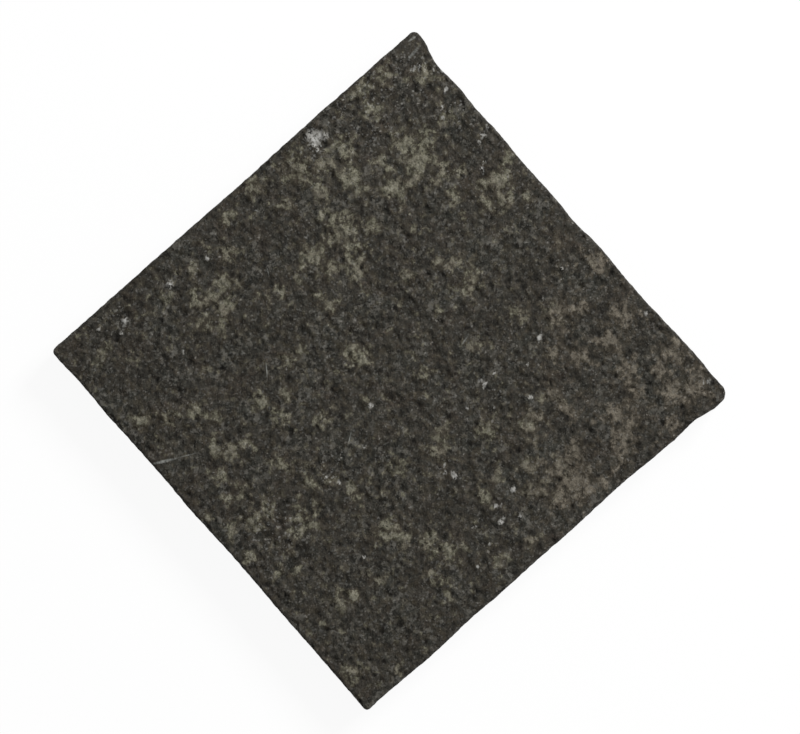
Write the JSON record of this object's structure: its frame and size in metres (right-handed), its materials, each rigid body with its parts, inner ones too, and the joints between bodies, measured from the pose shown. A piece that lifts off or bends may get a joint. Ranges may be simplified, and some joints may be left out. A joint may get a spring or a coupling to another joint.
{
  "type": "limestone tile",
  "caption": "Square dark limestone tile with a rough, pitted, mottled face, lightly waved cut sides, eased rims and two snapped corner spurs.",
  "frame": {"origin": "on the bed, under the middle of the tile's nominal square", "axes": "+Z from the bed up to the face, +X and +Y along the sides, with the snapped spurs at the corners on the +X side"},
  "size_m": [0.1021, 0.1008, 0.01],
  "materials": {
    "limestone": "rough, matte, pitted natural stone; charcoal brown mottled with taupe"
  },
  "bodies": {
    "root": {"limestone_tile": "limestone"}
  },
  "joints": []
}
